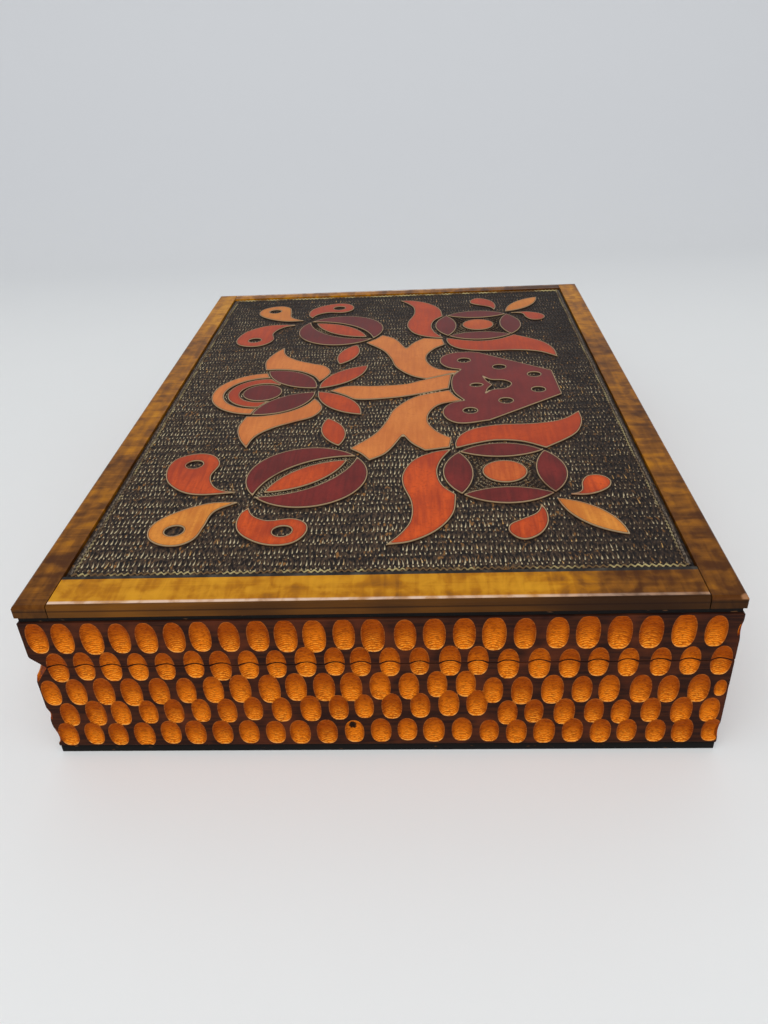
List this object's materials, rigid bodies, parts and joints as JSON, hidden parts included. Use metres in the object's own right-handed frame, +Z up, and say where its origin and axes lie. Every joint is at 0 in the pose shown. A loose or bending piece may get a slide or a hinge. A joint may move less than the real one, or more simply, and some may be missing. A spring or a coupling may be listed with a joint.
{
  "type": "carved wooden trinket box",
  "caption": "Shallow mitred wooden box with gouge-carved walls and a hinged lid whose framed panel is carved in low relief; holds trinkets.",
  "frame": {"origin": "middle of the underside", "axes": "+X along the box's long way, +Z up, front at -Y and hinges at +Y"},
  "size_m": [0.285, 0.2011, 0.0573],
  "materials": {
    "carved_panel": "stained and scorched low-relief carving, satin varnish",
    "border_wood": "figured wood, ochre stain, glossy varnish",
    "black_board": "thin board, painted black",
    "carved_wall": "dark stain with orange gouge cuts, satin varnish",
    "brass": "dull brass"
  },
  "bodies": {
    "base": {"base_plate": "black_board", "base_wall_front": "carved_wall", "base_wall_back": "carved_wall", "base_wall_left": "carved_wall", "base_wall_right": "carved_wall", "left_hinge_base_leaf": "brass", "left_hinge_pin": "brass", "left_hinge_base_screw_a": "brass", "left_hinge_base_screw_b": "brass", "right_hinge_base_leaf": "brass", "right_hinge_pin": "brass", "right_hinge_base_screw_a": "brass", "right_hinge_base_screw_b": "brass"},
    "lid": {"lid_panel": "carved_panel", "lid_rail_front": "border_wood", "lid_rail_back": "border_wood", "lid_rail_left": "border_wood", "lid_rail_right": "border_wood", "lid_backing": "black_board", "lid_wall_front": "carved_wall", "lid_wall_back": "carved_wall", "lid_wall_left": "carved_wall", "lid_wall_right": "carved_wall", "left_hinge_lid_leaf": "brass", "left_hinge_lid_screw_a": "brass", "left_hinge_lid_screw_b": "brass", "right_hinge_lid_leaf": "brass", "right_hinge_lid_screw_a": "brass", "right_hinge_lid_screw_b": "brass"}
  },
  "joints": [
    {"name": "lid_hinge", "type": "hinge", "parent": "base", "child": "lid", "pos_m": [0, 0.0994, 0.03505], "axis": [-1, 0, 0], "range_deg": [0, 110]}
  ]
}
